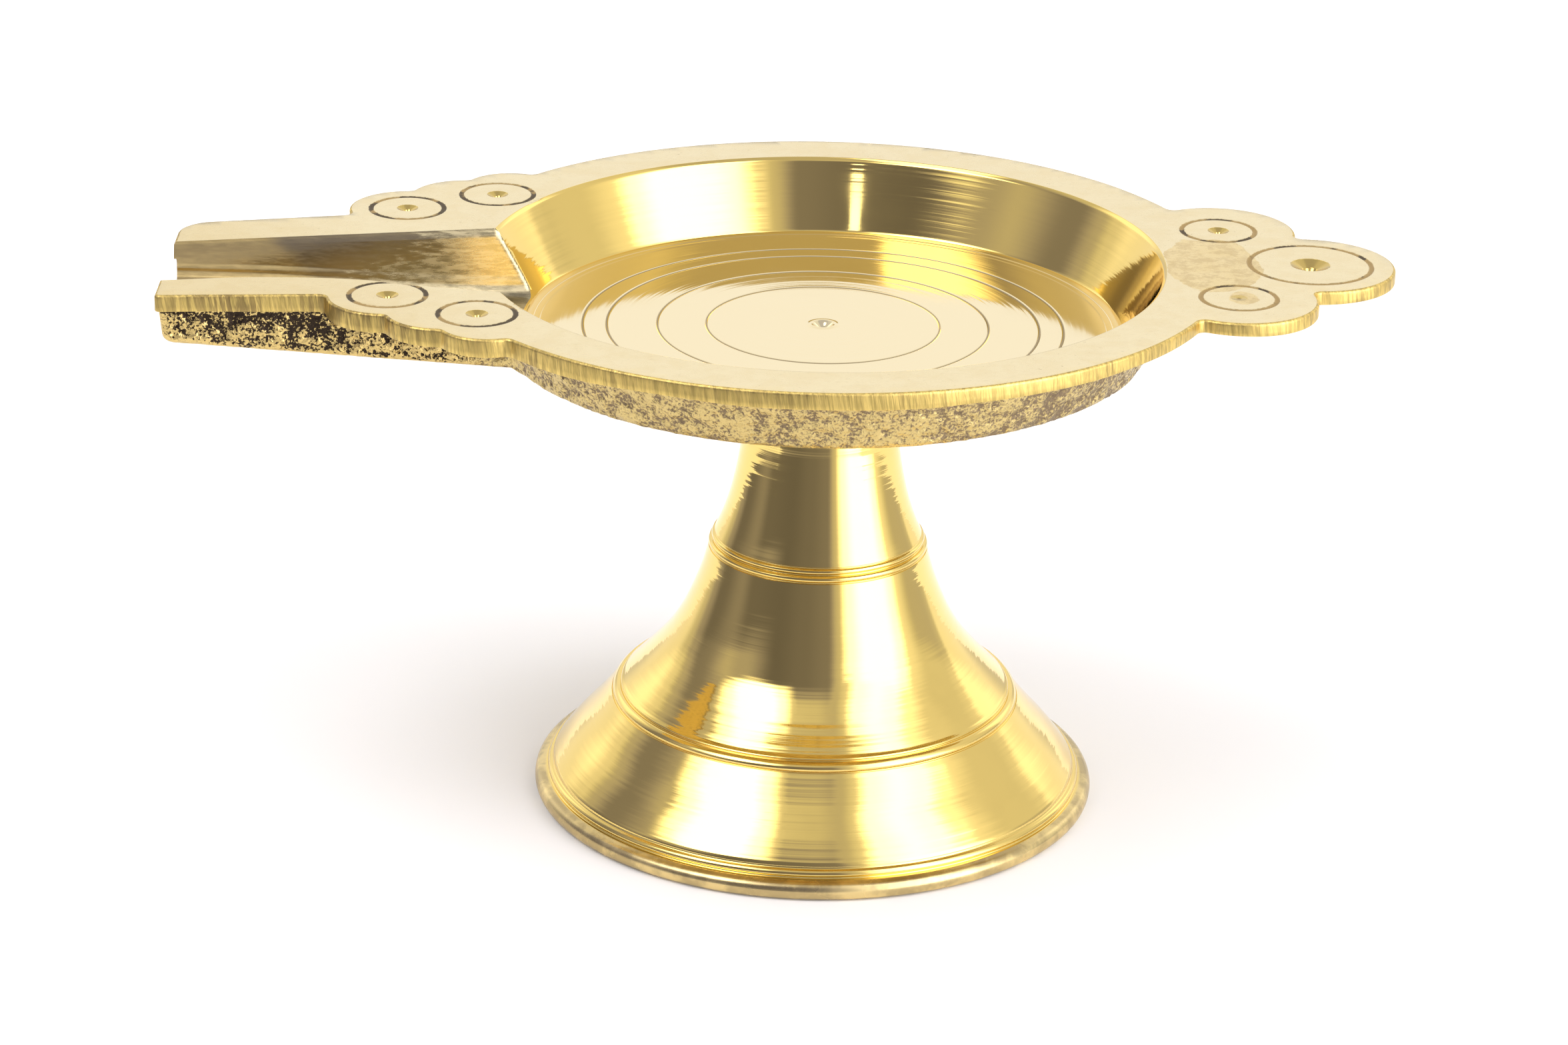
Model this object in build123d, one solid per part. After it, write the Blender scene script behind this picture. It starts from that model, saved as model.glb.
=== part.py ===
from build123d import *
import math
import os

# Brass oil lamp: a shallow pan with an open channel and a three-lobed grip,
# clamped by a hidden stud and nut to a hollow bell foot.
# Millimetres. +Z is up, the channel points along -X and the grip along +X.
# The origin is the centre of the foot's base ring, on the table.

# ---- Pan: driving dimensions ----
PAN_TOP = 67.9  # height of the pan's top face
FLANGE_THICK = 1.9
RIM_RADIUS = 47.4
MOUTH_RADIUS = 40.0
MOUTH_BEVEL = 0.35
BOWL_DEPTH = 8.4
BOWL_FLOOR_RADIUS = 35.7
PAN_DEPTH = 10.0  # top face to underside
SKIRT_TOP_RADIUS = 42.0
SKIRT_FOOT_RADIUS = 38.4
SKIRT_EDGE = 0.9  # rounding where the skirt meets the underside
FLOOR_GROOVES = (13.88, 19.71, 25.72, 28.58)  # radii of the turned rings in the floor
FLOOR_GROOVE_SIZE = 0.25
CENTRE_MARK_RADIUS = 1.3
CENTRE_MARK_DEPTH = 0.5

# ---- Flange outline: lobes as (x, y, radius), each with its mirror image ----
CHANNEL_LOBES = ((-50.4, 16.4, 7.1), (-43.8, 21.6, 6.7), (-38.4, 25.8, 5.8))
GRIP_LOBES = ((47.8, 12.64, 9.3),)
GRIP_TIP = (57.5, 0.0, 10.1)
OUTLINE_FILLET = 0.9  # rounding of the concave corners between lobes

# ---- Engraved rings on the flange: centre x, y, ring radius ----
SMALL_RING_RADIUS = 4.42
LARGE_RING_RADIUS = 7.21
CHANNEL_RINGS = ((-50.4, 16.4), (-39.8, 22.5))
GRIP_RINGS = ((47.8, 12.64),)
RING_GROOVE_SIZE = 0.3
SMALL_DIMPLE = (1.45, 0.7)  # radius and depth of a countersunk dimple
LARGE_DIMPLE = (2.45, 1.3)

# ---- Channel: the flange's own edges, and (x, near y, far y, depth) stations ----
TIP_X = -77.0
SHOULDER_X = -57.0
TIP_NEAR_Y = -18.2
TIP_FAR_Y = 9.2
SHOULDER_NEAR_Y = -16.8
SHOULDER_FAR_Y = 13.6
TIP_FAR_ROUND = 4.5
WALL_END_X = -76.7
WALL_ROOT_X = -28.0  # inside the skirt
WALL_NEAR_Y = (-17.4, -15.7)  # at the tip and at the root
WALL_FAR_Y = (8.4, 17.5)
WALL_DEPTH = (6.2, 9.9)  # top face to the wall's underside, at the tip and at the root
WALL_NEAR_ROUND = 0.6
WALL_FAR_ROUND = 3.7
WALL_EDGE = 1.0
CHANNEL_STATIONS = (
    (-79.0, -12.6, 1.1, 4.2),
    (-64.6, -10.5, 3.9, 5.4),
    (-52.8, -11.1, 6.1, 6.7),
    (-44.8, -13.2, 7.6, 7.6),
    (-34.0, -15.2, 9.8, 8.2),
)
CHANNEL_DRAFT = 0.5
CHANNEL_ROUND = 2.0

# ---- Foot: (radius, height) on its outer surface, between the bead rings ----
BASE_FLARE = ((32.8, 2.5), (30.0, 6.0), (27.35, 9.0), (24.8, 12.2))
MIDDLE_FLARE = (
    (23.5, 13.6),
    (20.8, 16.4),
    (18.45, 19.2),
    (16.65, 22.1),
    (15.2, 25.3),
    (14.1, 28.3),
    (13.2, 31.5),
)
NECK = ((12.5, 33.3), (11.75, 35.1), (11.1, 37.0), (10.15, 40.9), (9.5, 45.0), (8.8, 53.9))
BASE_BEAD = (34.3, 0.9)
BASE_FACE_RADIUS = 33.5
FOOT_INSIDE = (
    (31.9, 0.0),
    (28.3, 4.6),
    (25.7, 7.6),
    (22.5, 11.2),
    (18.9, 14.9),
    (16.4, 18.0),
    (14.6, 21.1),
    (13.15, 24.5),
    (12.0, 27.6),
    (10.95, 30.9),
    (9.7, 34.4),
    (8.6, 38.4),
    (7.8, 42.0),
    (7.0, 47.9),
)
RING_GROOVES = (
    (32.75, 2.5),
    (31.95, 3.5),
    (24.75, 12.3),
    (23.4, 13.7),
    (13.15, 31.6),
    (12.85, 32.4),
    (12.45, 33.3),
)
RING_CUT = 0.22
CROWN_THICK = 6.0

# ---- Clamping: boss, stud, washer and nut ----
BOSS_RADIUS = 8.6
BOSS_HEIGHT = 4.0
STUD_RADIUS = 3.0
STUD_GRIP = 4.6  # how far the stud goes into the pan
STUD_CLEARANCE = 0.2
STUD_END = 2.0  # the stud's length below the nut
STUD_CHAMFER = 0.5
WASHER_RADIUS = 6.0
WASHER_THICK = 1.0
NUT_ACROSS_FLATS = 10.0
NUT_HEIGHT = 5.0
NUT_CHAMFER = 0.5

CUT_ABOVE = 2.0  # how far cutters stand above the faces they cut
PAN_UNDERSIDE = PAN_TOP - PAN_DEPTH
BOSS_FACE = PAN_UNDERSIDE - BOSS_HEIGHT
CROWN_UNDERSIDE = BOSS_FACE - CROWN_THICK
NUT_TOP = CROWN_UNDERSIDE - WASHER_THICK
STUD_BOTTOM = NUT_TOP - NUT_HEIGHT - STUD_END
STUD_TOP = BOSS_FACE + STUD_GRIP


def both_sides(places):
    """Each (x, y, ...) place and its mirror image across the XZ plane."""
    return [(p[0], side * p[1], *p[2:]) for p in places for side in (-1, 1)]


def turned(points):
    """A solid of revolution about Z from a closed (radius, height) outline."""
    outline = Polyline(*[(r, 0, z) for r, z in points], close=True)
    return revolve(make_face(outline), Axis.Z)


def step(point, direction, distance):
    """The point at a distance from a point along a unit direction."""
    return (point[0] + direction[0] * distance, point[1] + direction[1] * distance)


def towards(start, end):
    """The unit direction from one point to another."""
    length = math.dist(start, end)
    return ((end[0] - start[0]) / length, (end[1] - start[1]) / length)


def arc_about(centre, start, end):
    """The shorter arc from start to end about a centre."""
    middle = ((start[0] + end[0]) / 2, (start[1] + end[1]) / 2)
    crown = step(centre, towards(centre, middle), math.dist(centre, start))
    return ThreePointArc(start, crown, end)


def rounding_between(lobe, following):
    """Centre of the rounding that touches two overlapping lobes from outside, on the -Y side."""
    (x1, y1, r1), (x2, y2, r2) = lobe, following
    reach1 = r1 + OUTLINE_FILLET
    reach2 = r2 + OUTLINE_FILLET
    apart = math.dist((x1, y1), (x2, y2))
    along = (reach1**2 - reach2**2 + apart**2) / (2 * apart)
    aside = math.sqrt(reach1**2 - along**2)
    ahead = towards((x1, y1), (x2, y2))
    right = (ahead[1], -ahead[0])
    return step(step((x1, y1), ahead, along), right, aside)


def rounding_at_shoulder(tip_y, shoulder_y):
    """Centre of the rounding between the channel's straight flange edge and the first lobe."""
    x, y, radius = CHANNEL_LOBES[0]
    ahead = towards((TIP_X, -tip_y), (SHOULDER_X, -shoulder_y))
    right = (ahead[1], -ahead[0])
    start = step((TIP_X, -tip_y), right, OUTLINE_FILLET)
    dx, dy = x - start[0], -y - start[1]
    along = dx * ahead[0] + dy * ahead[1]
    off = dx * right[0] + dy * right[1]
    reach = radius + OUTLINE_FILLET
    return step(start, ahead, along - math.sqrt(reach**2 - off**2)), right


def half_outline(tip_y, shoulder_y):
    """The flange's edge on the -Y side, from the channel's tip to the end of the grip."""
    rim = (0.0, 0.0, RIM_RADIUS)
    lobes = [(x, -y, r) for x, y, r in CHANNEL_LOBES] + [rim]
    lobes += [(x, -y, r) for x, y, r in GRIP_LOBES] + [GRIP_TIP]
    rounding, outward = rounding_at_shoulder(tip_y, shoulder_y)
    touch = step(rounding, outward, -OUTLINE_FILLET)
    edges = [Line((TIP_X, -tip_y), touch)]
    for index, (x, y, radius) in enumerate(lobes):
        arrival = step((x, y), towards((x, y), rounding), radius)
        edges.append(arc_about(rounding, touch, arrival))
        if index == len(lobes) - 1:
            edges.append(arc_about((x, y), arrival, (x + radius, 0.0)))
            break
        rounding = rounding_between(lobes[index], lobes[index + 1])
        touch = step((x, y), towards((x, y), rounding), radius)
        edges.append(arc_about((x, y), arrival, touch))
    return edges


def flange():
    """The thin plate that carries the rim, the lobes and the grip."""
    near = half_outline(-TIP_NEAR_Y, -SHOULDER_NEAR_Y)
    far = [edge.mirror(Plane.XZ) for edge in half_outline(TIP_FAR_Y, SHOULDER_FAR_Y)]
    end = Line((TIP_X, TIP_FAR_Y), (TIP_X, TIP_NEAR_Y))
    plate = extrude(make_face([*near, *far, end]), FLANGE_THICK)
    tip_corners = plate.edges().filter_by(Axis.Z).sort_by(Axis.X)[:2]
    plate = fillet(tip_corners.sort_by(Axis.Y)[-1], TIP_FAR_ROUND)
    return Pos(0, 0, PAN_TOP - FLANGE_THICK) * plate


def skirt():
    """The bowl's outer wall, with its draft and its rounded lower edge."""
    top = PAN_TOP - FLANGE_THICK
    body = turned(
        (
            (0, PAN_UNDERSIDE),
            (SKIRT_FOOT_RADIUS, PAN_UNDERSIDE),
            (SKIRT_TOP_RADIUS, top),
            (0, top),
        )
    )
    lower = body.edges().filter_by(GeomType.CIRCLE).group_by(Axis.Z)[0]
    return fillet(lower, SKIRT_EDGE)


def channel_wall():
    """The channel's outer wall: a block under the flange whose underside slopes down to the bowl."""
    top = PAN_TOP - FLANGE_THICK
    outline = Polyline(
        (WALL_END_X, WALL_NEAR_Y[0]),
        (WALL_ROOT_X, WALL_NEAR_Y[1]),
        (WALL_ROOT_X, WALL_FAR_Y[1]),
        (WALL_END_X, WALL_FAR_Y[0]),
        close=True,
    )
    plan = make_face(outline)
    for corner, radius in ((0, WALL_NEAR_ROUND), (-1, WALL_FAR_ROUND)):
        end_corners = plan.vertices().group_by(Axis.X)[0].sort_by(Axis.Y)
        plan = fillet(end_corners[corner], radius)
    block = Pos(0, 0, PAN_UNDERSIDE) * extrude(plan, top - PAN_UNDERSIDE)
    side = Polyline(
        (WALL_END_X, 0, top),
        (WALL_END_X, 0, PAN_TOP - WALL_DEPTH[0]),
        (WALL_ROOT_X, 0, PAN_TOP - WALL_DEPTH[1]),
        (WALL_ROOT_X, 0, top),
        close=True,
    )
    body = block & extrude(make_face(side), SKIRT_TOP_RADIUS, both=True)
    underside = body.faces().filter_by(Axis.Z, reverse=True).sort_by(Axis.Z)[0]
    return fillet(underside.edges().sort_by(SortBy.LENGTH)[-2:], WALL_EDGE)


def channel_section(x, near, far, depth):
    """The channel's U-shaped section at x, closed a little above the top face."""
    lip = CHANNEL_DRAFT * CUT_ABOVE / depth
    plane = Plane(origin=(x, 0, PAN_TOP), x_dir=(0, 1, 0), z_dir=(1, 0, 0))
    outline = FilletPolyline(
        (near - lip, CUT_ABOVE),
        (near + CHANNEL_DRAFT, -depth),
        (far - CHANNEL_DRAFT, -depth),
        (far + lip, CUT_ABOVE),
        radius=CHANNEL_ROUND,
    )
    closing = Line(outline @ 1, outline @ 0)
    return plane * make_face([*outline.edges(), closing])


def bowl_cutter():
    """What the lathe takes out of the bowl: bevel, conical wall, floor and centre mark."""
    floor = PAN_TOP - BOWL_DEPTH
    cutter = turned(
        (
            (0, floor - CENTRE_MARK_DEPTH),
            (CENTRE_MARK_RADIUS, floor),
            (BOWL_FLOOR_RADIUS, floor),
            (MOUTH_RADIUS, PAN_TOP - MOUTH_BEVEL),
            (MOUTH_RADIUS + MOUTH_BEVEL, PAN_TOP),
            (MOUTH_RADIUS + MOUTH_BEVEL, PAN_TOP + CUT_ABOVE),
            (0, PAN_TOP + CUT_ABOVE),
        )
    )
    for radius in FLOOR_GROOVES:
        cutter += Pos(0, 0, floor) * Torus(radius, FLOOR_GROOVE_SIZE)
    return cutter


def ring_cutter(x, y, ring_radius, dimple):
    """One engraved ring on the flange with the countersunk dimple at its centre."""
    radius, depth = dimple
    ring = Torus(ring_radius, RING_GROOVE_SIZE)
    cone = turned(((0, -depth), (radius, 0), (radius, CUT_ABOVE), (0, CUT_ABOVE)))
    return Pos(x, y, PAN_TOP) * (ring + cone)


def pan():
    """The pan: one casting with its turned bowl, channel, engraving and threaded boss."""
    body = flange() + skirt() + channel_wall()
    body += Pos(0, 0, BOSS_FACE + BOSS_HEIGHT / 2) * Cylinder(BOSS_RADIUS, BOSS_HEIGHT)
    body -= bowl_cutter()
    body -= loft([channel_section(*station) for station in CHANNEL_STATIONS], ruled=True)
    for x, y in both_sides(CHANNEL_RINGS + GRIP_RINGS):
        body -= ring_cutter(x, y, SMALL_RING_RADIUS, SMALL_DIMPLE)
    body -= ring_cutter(GRIP_TIP[0], GRIP_TIP[1], LARGE_RING_RADIUS, LARGE_DIMPLE)
    body -= Pos(0, 0, BOSS_FACE + STUD_GRIP / 2) * Cylinder(STUD_RADIUS, STUD_GRIP)
    return body


def spline_3d(points):
    """A smooth curve through (radius, height) points in the XZ plane."""
    return Spline(*[(r, 0, z) for r, z in points])


def line_3d(start, end):
    """A straight edge between two (radius, height) points in the XZ plane."""
    return Line((start[0], 0, start[1]), (end[0], 0, end[1]))


def foot():
    """The hollow bell foot: three flared lengths, two bead rings and a base bead."""
    base_face = (BASE_FACE_RADIUS, 0.0)
    hole = STUD_RADIUS + STUD_CLEARANCE
    edges = [
        line_3d(FOOT_INSIDE[0], base_face),
        ThreePointArc(*[(r, 0, z) for r, z in (base_face, BASE_BEAD, BASE_FLARE[0])]),
        spline_3d(BASE_FLARE),
        line_3d(BASE_FLARE[-1], MIDDLE_FLARE[0]),
        spline_3d(MIDDLE_FLARE),
        line_3d(MIDDLE_FLARE[-1], NECK[0]),
        spline_3d(NECK),
        line_3d(NECK[-1], (hole, BOSS_FACE)),
        line_3d((hole, BOSS_FACE), (hole, CROWN_UNDERSIDE)),
        line_3d((hole, CROWN_UNDERSIDE), FOOT_INSIDE[-1]),
        spline_3d(FOOT_INSIDE[::-1]),
    ]
    body = revolve(make_face(edges), Axis.Z)
    for radius, height in RING_GROOVES:
        body -= Pos(0, 0, height) * Torus(radius, RING_CUT)
    return body


def stud():
    """The stud that holds pan and foot together, at its thread's outer diameter."""
    length = STUD_TOP - STUD_BOTTOM
    rod = Pos(0, 0, (STUD_TOP + STUD_BOTTOM) / 2) * Cylinder(STUD_RADIUS, length)
    return chamfer(rod.edges().group_by(Axis.Z)[0], STUD_CHAMFER)


def washer():
    """The plain washer between the nut and the foot's crown."""
    ring = Cylinder(WASHER_RADIUS, WASHER_THICK)
    ring -= Cylinder(STUD_RADIUS + STUD_CLEARANCE, WASHER_THICK)
    return Pos(0, 0, NUT_TOP + WASHER_THICK / 2) * ring


def nut():
    """The hexagonal nut on the stud, with its corners chamfered at both faces."""
    corner_radius = NUT_ACROSS_FLATS / math.sqrt(3)
    body = Pos(0, 0, NUT_TOP - NUT_HEIGHT) * extrude(RegularPolygon(corner_radius, 6), NUT_HEIGHT)
    blank = Pos(0, 0, NUT_TOP - NUT_HEIGHT / 2) * Cylinder(corner_radius, NUT_HEIGHT)
    body &= chamfer(blank.edges().filter_by(GeomType.CIRCLE), NUT_CHAMFER)
    body -= Pos(0, 0, NUT_TOP - NUT_HEIGHT / 2) * Cylinder(STUD_RADIUS, NUT_HEIGHT)
    return body


PARTS = {
    "pan": pan,
    "foot": foot,
    "pan_stud": stud,
    "foot_washer": washer,
    "foot_nut": nut,
}

os.makedirs("parts", exist_ok=True)
for node, make in PARTS.items():
    export_step(make(), f"parts/{node}.step")
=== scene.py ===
import math

import bmesh
import bpy
import numpy as np
from mathutils import Matrix, Vector
from mathutils.geometry import delaunay_2d_cdt


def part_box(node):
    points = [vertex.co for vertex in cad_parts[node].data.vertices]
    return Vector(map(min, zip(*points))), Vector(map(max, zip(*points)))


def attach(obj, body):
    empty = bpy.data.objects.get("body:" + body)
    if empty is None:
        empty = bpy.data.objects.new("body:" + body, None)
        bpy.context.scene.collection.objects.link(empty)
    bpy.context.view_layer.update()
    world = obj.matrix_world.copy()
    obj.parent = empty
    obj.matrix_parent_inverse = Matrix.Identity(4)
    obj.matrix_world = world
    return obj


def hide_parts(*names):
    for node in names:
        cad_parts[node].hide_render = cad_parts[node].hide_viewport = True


# Brass lamp: the pan and the foot are rebuilt here in fine meshes around the CAD frame.
# Shapes are worked out in millimetres and turned into metres when a mesh is made.
MM = 0.001

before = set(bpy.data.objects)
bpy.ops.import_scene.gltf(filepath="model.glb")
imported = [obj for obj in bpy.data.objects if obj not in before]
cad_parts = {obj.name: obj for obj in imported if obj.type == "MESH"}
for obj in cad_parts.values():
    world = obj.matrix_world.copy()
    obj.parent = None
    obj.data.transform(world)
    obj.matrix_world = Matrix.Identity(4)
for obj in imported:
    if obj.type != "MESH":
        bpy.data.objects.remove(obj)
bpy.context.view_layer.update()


def box_mm(node):
    """A CAD node's lowest and highest corners in millimetres."""
    low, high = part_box(node)
    return np.array(low) / MM, np.array(high) / MM


PAN_LOW, PAN_HIGH = box_mm("pan")
FOOT_HIGH = box_mm("foot")[1]
STUD_LOW, STUD_HIGH = box_mm("pan_stud")
TOP = PAN_HIGH[2]  # the pan's top face; depths below are measured down from it
TIP_X = PAN_LOW[0]
FOOT_TOP = FOOT_HIGH[2]

# ---- Pan ----
FLANGE = 1.9  # flange thickness
PAN_DEPTH = 10.0
RIM_R = 47.4
BOWL_DEPTH = 8.4
MOUTH = (40.0, 0.33)  # radius and depth of the bowl wall's upper end, below the mouth's bevel
WALL_FOOT = (35.7, BOWL_DEPTH)
TURNED_R = 40.4  # inside this radius the top is turned
BOWL_PROFILE = (  # (radius, depth) from the mouth's bevel down the wall to the floor
    (60.0, 0.0),
    (40.38, 0.0),
    MOUTH,
    WALL_FOOT,
    (34.55, 8.36),
    (34.4, 8.42),
    (33.75, 8.40),
    (33.6, 8.44),
    (30.0, 8.42),
    (1.9, BOWL_DEPTH),
    (1.5, 8.28),
    (1.25, 8.36),
    (0.35, 9.0),
    (0.0, 9.05),
)
FLOOR_GROOVES = (13.88, 19.71, 25.72, 28.58)
GROOVE_SLOPE = 0.9  # how steep a groove is at its edges
FLOOR_GROOVE = 0.18  # half width of a turned groove in the bowl's floor
SMALL_MARK = (1.3, 0.6)  # radius and depth of a countersunk mark
LARGE_MARK = (2.35, 1.1)
WORN_MARK = (1.0, 0.1)  # the near one on the grip, hardly cut
RING_GROOVE = 0.37  # half width of an engraved ring
LOBES = ((-50.4, 16.4, 7.1), (-43.8, 21.6, 6.7), (-38.4, 25.8, 5.8))
GRIP_LOBE = (47.8, 12.64, 9.3)
GRIP_TIP = (57.5, 0.0, 10.1)
LOBE_ROUND = 0.9
SMALL_RING = 4.42
LARGE_RING = 7.21
RING_CENTRES = (LOBES[0][:2], (-39.8, 22.5), GRIP_LOBE[:2])
SHOULDER_X = -57.0
NEAR_EDGE = (18.2, 16.8)  # distance of the channel's flange edge from the axis, at tip and shoulder
FAR_EDGE = (9.2, 13.6)
TIP_ROUNDS = (0.7, 4.5)  # plan rounding of the near and far corners at the tip
TIP_MIDDLE = 4.5  # how far to the near side the two halves of the flange's edge meet at the tip
EDGE_ROUND = 0.35  # rounding of the flange's upper edge
LOWER_ROUND = 0.1
WALL_END_X = -76.7
WALL_ROOT_X = -28.0
WALL_NEAR_Y = (-17.4, -15.7)  # at the tip and at the root
WALL_FAR_Y = (8.4, 17.5)
WALL_DEPTH = (6.2, 9.9)
WALL_ROUNDS = (0.6, 3.7)
SKIRT_R = (42.0, 38.4)  # at the flange and at the underside
SKIRT_ROUND = 0.9
WALL_BLEND = 1.4  # rounding of the inside corner between the channel's wall and the skirt
BOSS_R = 8.6
BOSS_HEIGHT = 4.0
BORE_R = 3.0
BORE_DEPTH = 4.6

# ---- Channel: (x, near y, far y, depth) ----
CHANNEL = (
    (-79.0, -12.6, 1.1, 4.2),
    (-64.6, -10.5, 3.9, 5.4),
    (-52.8, -11.1, 6.1, 6.7),
    (-44.8, -13.2, 7.6, 7.6),
    (-38.5, -14.4, 8.85, 8.1),
    (-33.0, -15.4, 9.95, 8.25),
)

# ---- Foot: (radius, height) on its outer surface ----
BASE_FLARE = ((31.9, 3.62), (30.0, 6.0), (27.35, 9.0), (24.85, 12.14))
MIDDLE_FLARE = (
    (23.5, 13.6),
    (20.8, 16.4),
    (18.45, 19.2),
    (16.65, 22.1),
    (15.2, 25.3),
    (14.1, 28.3),
    (13.25, 31.4),
)
NECK = ((12.5, 33.3), (11.75, 35.1), (11.1, 37.0), (10.15, 40.9), (9.5, 45.0), (8.8, FOOT_TOP))
FOOT_INSIDE = (
    (31.9, 0.0),
    (28.3, 4.6),
    (25.7, 7.6),
    (22.5, 11.2),
    (18.9, 14.9),
    (16.4, 18.0),
    (14.6, 21.1),
    (13.15, 24.5),
    (12.0, 27.6),
    (10.95, 30.9),
    (9.7, 34.4),
    (8.6, 38.4),
    (7.8, 42.0),
    (7.0, FOOT_TOP - 6.0),
)
CROWN = 6.0
FOOT_BORE = 3.2
# Turned beads and grooves between the flares: widths as shares, then how far each one bulges.
BASE_BEADS = ((0.4, 1.0, 0.5), (-0.14, 0.17, -0.1))
MIDDLE_BEADS = ((0.5, 2.4, 0.5, 0.6), (-0.13, 0.27, -0.15, 0.04))
NECK_BEADS = ((0.45, 1.2, 0.5, 1.0, 0.4), (-0.13, 0.22, -0.15, 0.17, -0.07))
THREAD_PITCH = 1.0
THREAD_DEPTH = 0.55

CREASE = math.radians(38)  # edges that bend more than this are shaded sharp
CAST, TOPFACE, TURNED, POLISHED, FILED = range(5)  # material slots of the pan's mesh


# ------------------------------------------------------------------ small geometry
def unit(vector):
    """Vectors (n, d) or (d,) scaled to length one."""
    vector = np.asarray(vector, float)
    return vector / np.linalg.norm(vector, axis=-1, keepdims=True)


def right_of(direction):
    """The direction turned a quarter turn clockwise."""
    return np.array([direction[1], -direction[0]])


def line(start, end, spacing):
    """Points along a line, without its last one."""
    start, end = np.asarray(start, float), np.asarray(end, float)
    count = max(1, round(np.linalg.norm(end - start) / spacing))
    share = np.arange(count)[:, None] / count
    return start + (end - start) * share


def arc(centre, start, end, spacing):
    """Points along the shorter arc about a centre, without its last one."""
    centre, start, end = (np.asarray(p, float) for p in (centre, start, end))
    radius = np.linalg.norm(start - centre)
    first = math.atan2(*(start - centre)[::-1])
    turn = math.atan2(*(end - centre)[::-1]) - first
    turn = (turn + math.pi) % (2 * math.pi) - math.pi
    count = max(2, round(abs(turn) * radius / spacing))
    angles = first + turn * np.arange(count) / count
    return centre + radius * np.stack([np.cos(angles), np.sin(angles)], 1)


def corner(point, before, after, radius, spacing):
    """Points rounding a corner between two lines, from the first line to the second."""
    point = np.asarray(point, float)
    back = unit(np.asarray(before, float) - point)
    on = unit(np.asarray(after, float) - point)
    half = math.acos(float(np.clip(back @ on, -1, 1))) / 2
    reach = radius / math.tan(half)
    centre = point + unit(back + on) * radius / math.sin(half)
    return arc(centre, point + back * reach, point + on * reach, spacing), point + on * reach


def touching(lobe, following, rounding):
    """Centre of the circle that touches two overlapping circles from outside, on the right."""
    c1, c2 = np.array(lobe[:2]), np.array(following[:2])
    reach1, reach2 = lobe[2] + rounding, following[2] + rounding
    apart = np.linalg.norm(c2 - c1)
    along = (reach1**2 - reach2**2 + apart**2) / (2 * apart)
    ahead = (c2 - c1) / apart
    return c1 + ahead * along + right_of(ahead) * math.sqrt(reach1**2 - along**2)


def smooth_step(value, low, high):
    """0 below low, 1 above high, and smooth between."""
    share = np.clip((value - low) / (high - low), 0, 1)
    return share * share * (3 - 2 * share)


def lattice(ix, iy, iz, seed):
    """A repeatable random number from -1 to 1 at each whole-number point."""
    mixed = ix * 374761393 + iy * 668265263 + iz * 2147483647 + seed * 1274126177
    mixed = (mixed ^ (mixed >> 13)) * 1274126177
    mixed = mixed ^ (mixed >> 16)
    return (mixed & 0xFFFFFF) / 0x7FFFFF - 1.0


def noise(points, cell, seed=0):
    """Smooth noise from about -1 to 1 with features as large as the cell."""
    scaled = np.asarray(points, float) / cell + 1000.0
    whole = np.floor(scaled).astype(np.int64)
    part = scaled - whole
    part = part * part * part * (part * (part * 6 - 15) + 10)
    total = np.zeros(len(scaled))
    for corner_index in range(8):
        offset = np.array([(corner_index >> k) & 1 for k in range(3)])
        weight = np.prod(np.where(offset, part, 1 - part), axis=1)
        total += weight * lattice(*(whole + offset).T, seed)
    return total


# ------------------------------------------------------------------ meshes
class Shell:
    """Patches of one closed surface, welded where their edges meet."""

    def __init__(self):
        self.points, self.faces, self.slots, self.pits = [], [], [], []
        self.count = 0

    def add(self, points, faces, slots, pits=None):
        """Adds a patch: points in mm, faces as index rows, one slot or one for each face."""
        points = np.asarray(points, float)
        self.points.append(points)
        self.faces += [tuple(int(i) + self.count for i in face) for face in faces]
        self.slots += [slots] * len(faces) if isinstance(slots, int) else list(slots)
        self.pits.append(np.zeros(len(points)) if pits is None else np.asarray(pits, float))
        self.count += len(points)

    def strip(self, rows, slots, closed=True, pits=None):
        """Adds a grid of quads: rows is (row, column, xyz)."""
        rows = np.asarray(rows, float)
        count, across = rows.shape[:2]
        last = across if closed else across - 1
        faces = []
        for row in range(count - 1):
            for column in range(last):
                following = (column + 1) % across
                here, below = row * across, (row + 1) * across
                faces.append((here + column, here + following, below + following, below + column))
        self.add(rows.reshape(-1, 3), faces, slots, None if pits is None else np.ravel(pits))

    def mesh(self, name):
        """The welded mesh, in metres, with its faces turned outwards."""
        mesh = bpy.data.meshes.new(name)
        points = np.concatenate(self.points) * MM
        mesh.from_pydata(points.tolist(), [], self.faces)
        mesh.polygons.foreach_set("material_index", self.slots)
        mesh.attributes.new("pit", "FLOAT", "POINT")
        mesh.attributes["pit"].data.foreach_set("value", np.concatenate(self.pits))
        work = bmesh.new()
        work.from_mesh(mesh)
        bmesh.ops.remove_doubles(work, verts=work.verts, dist=2e-7)
        bmesh.ops.recalc_face_normals(work, faces=work.faces)
        work.to_mesh(mesh)
        work.free()
        return mesh


def inside(points, loop):
    """Which points lie inside a closed loop."""
    x, y = points[:, 0], points[:, 1]
    result = np.zeros(len(points), bool)
    for (x1, y1), (x2, y2) in zip(loop, np.roll(loop, -1, axis=0)):
        if y1 == y2:
            continue
        crosses = (y1 > y) != (y2 > y)
        result ^= crosses & (x < x1 + (y - y1) * (x2 - x1) / (y2 - y1))
    return result


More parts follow.
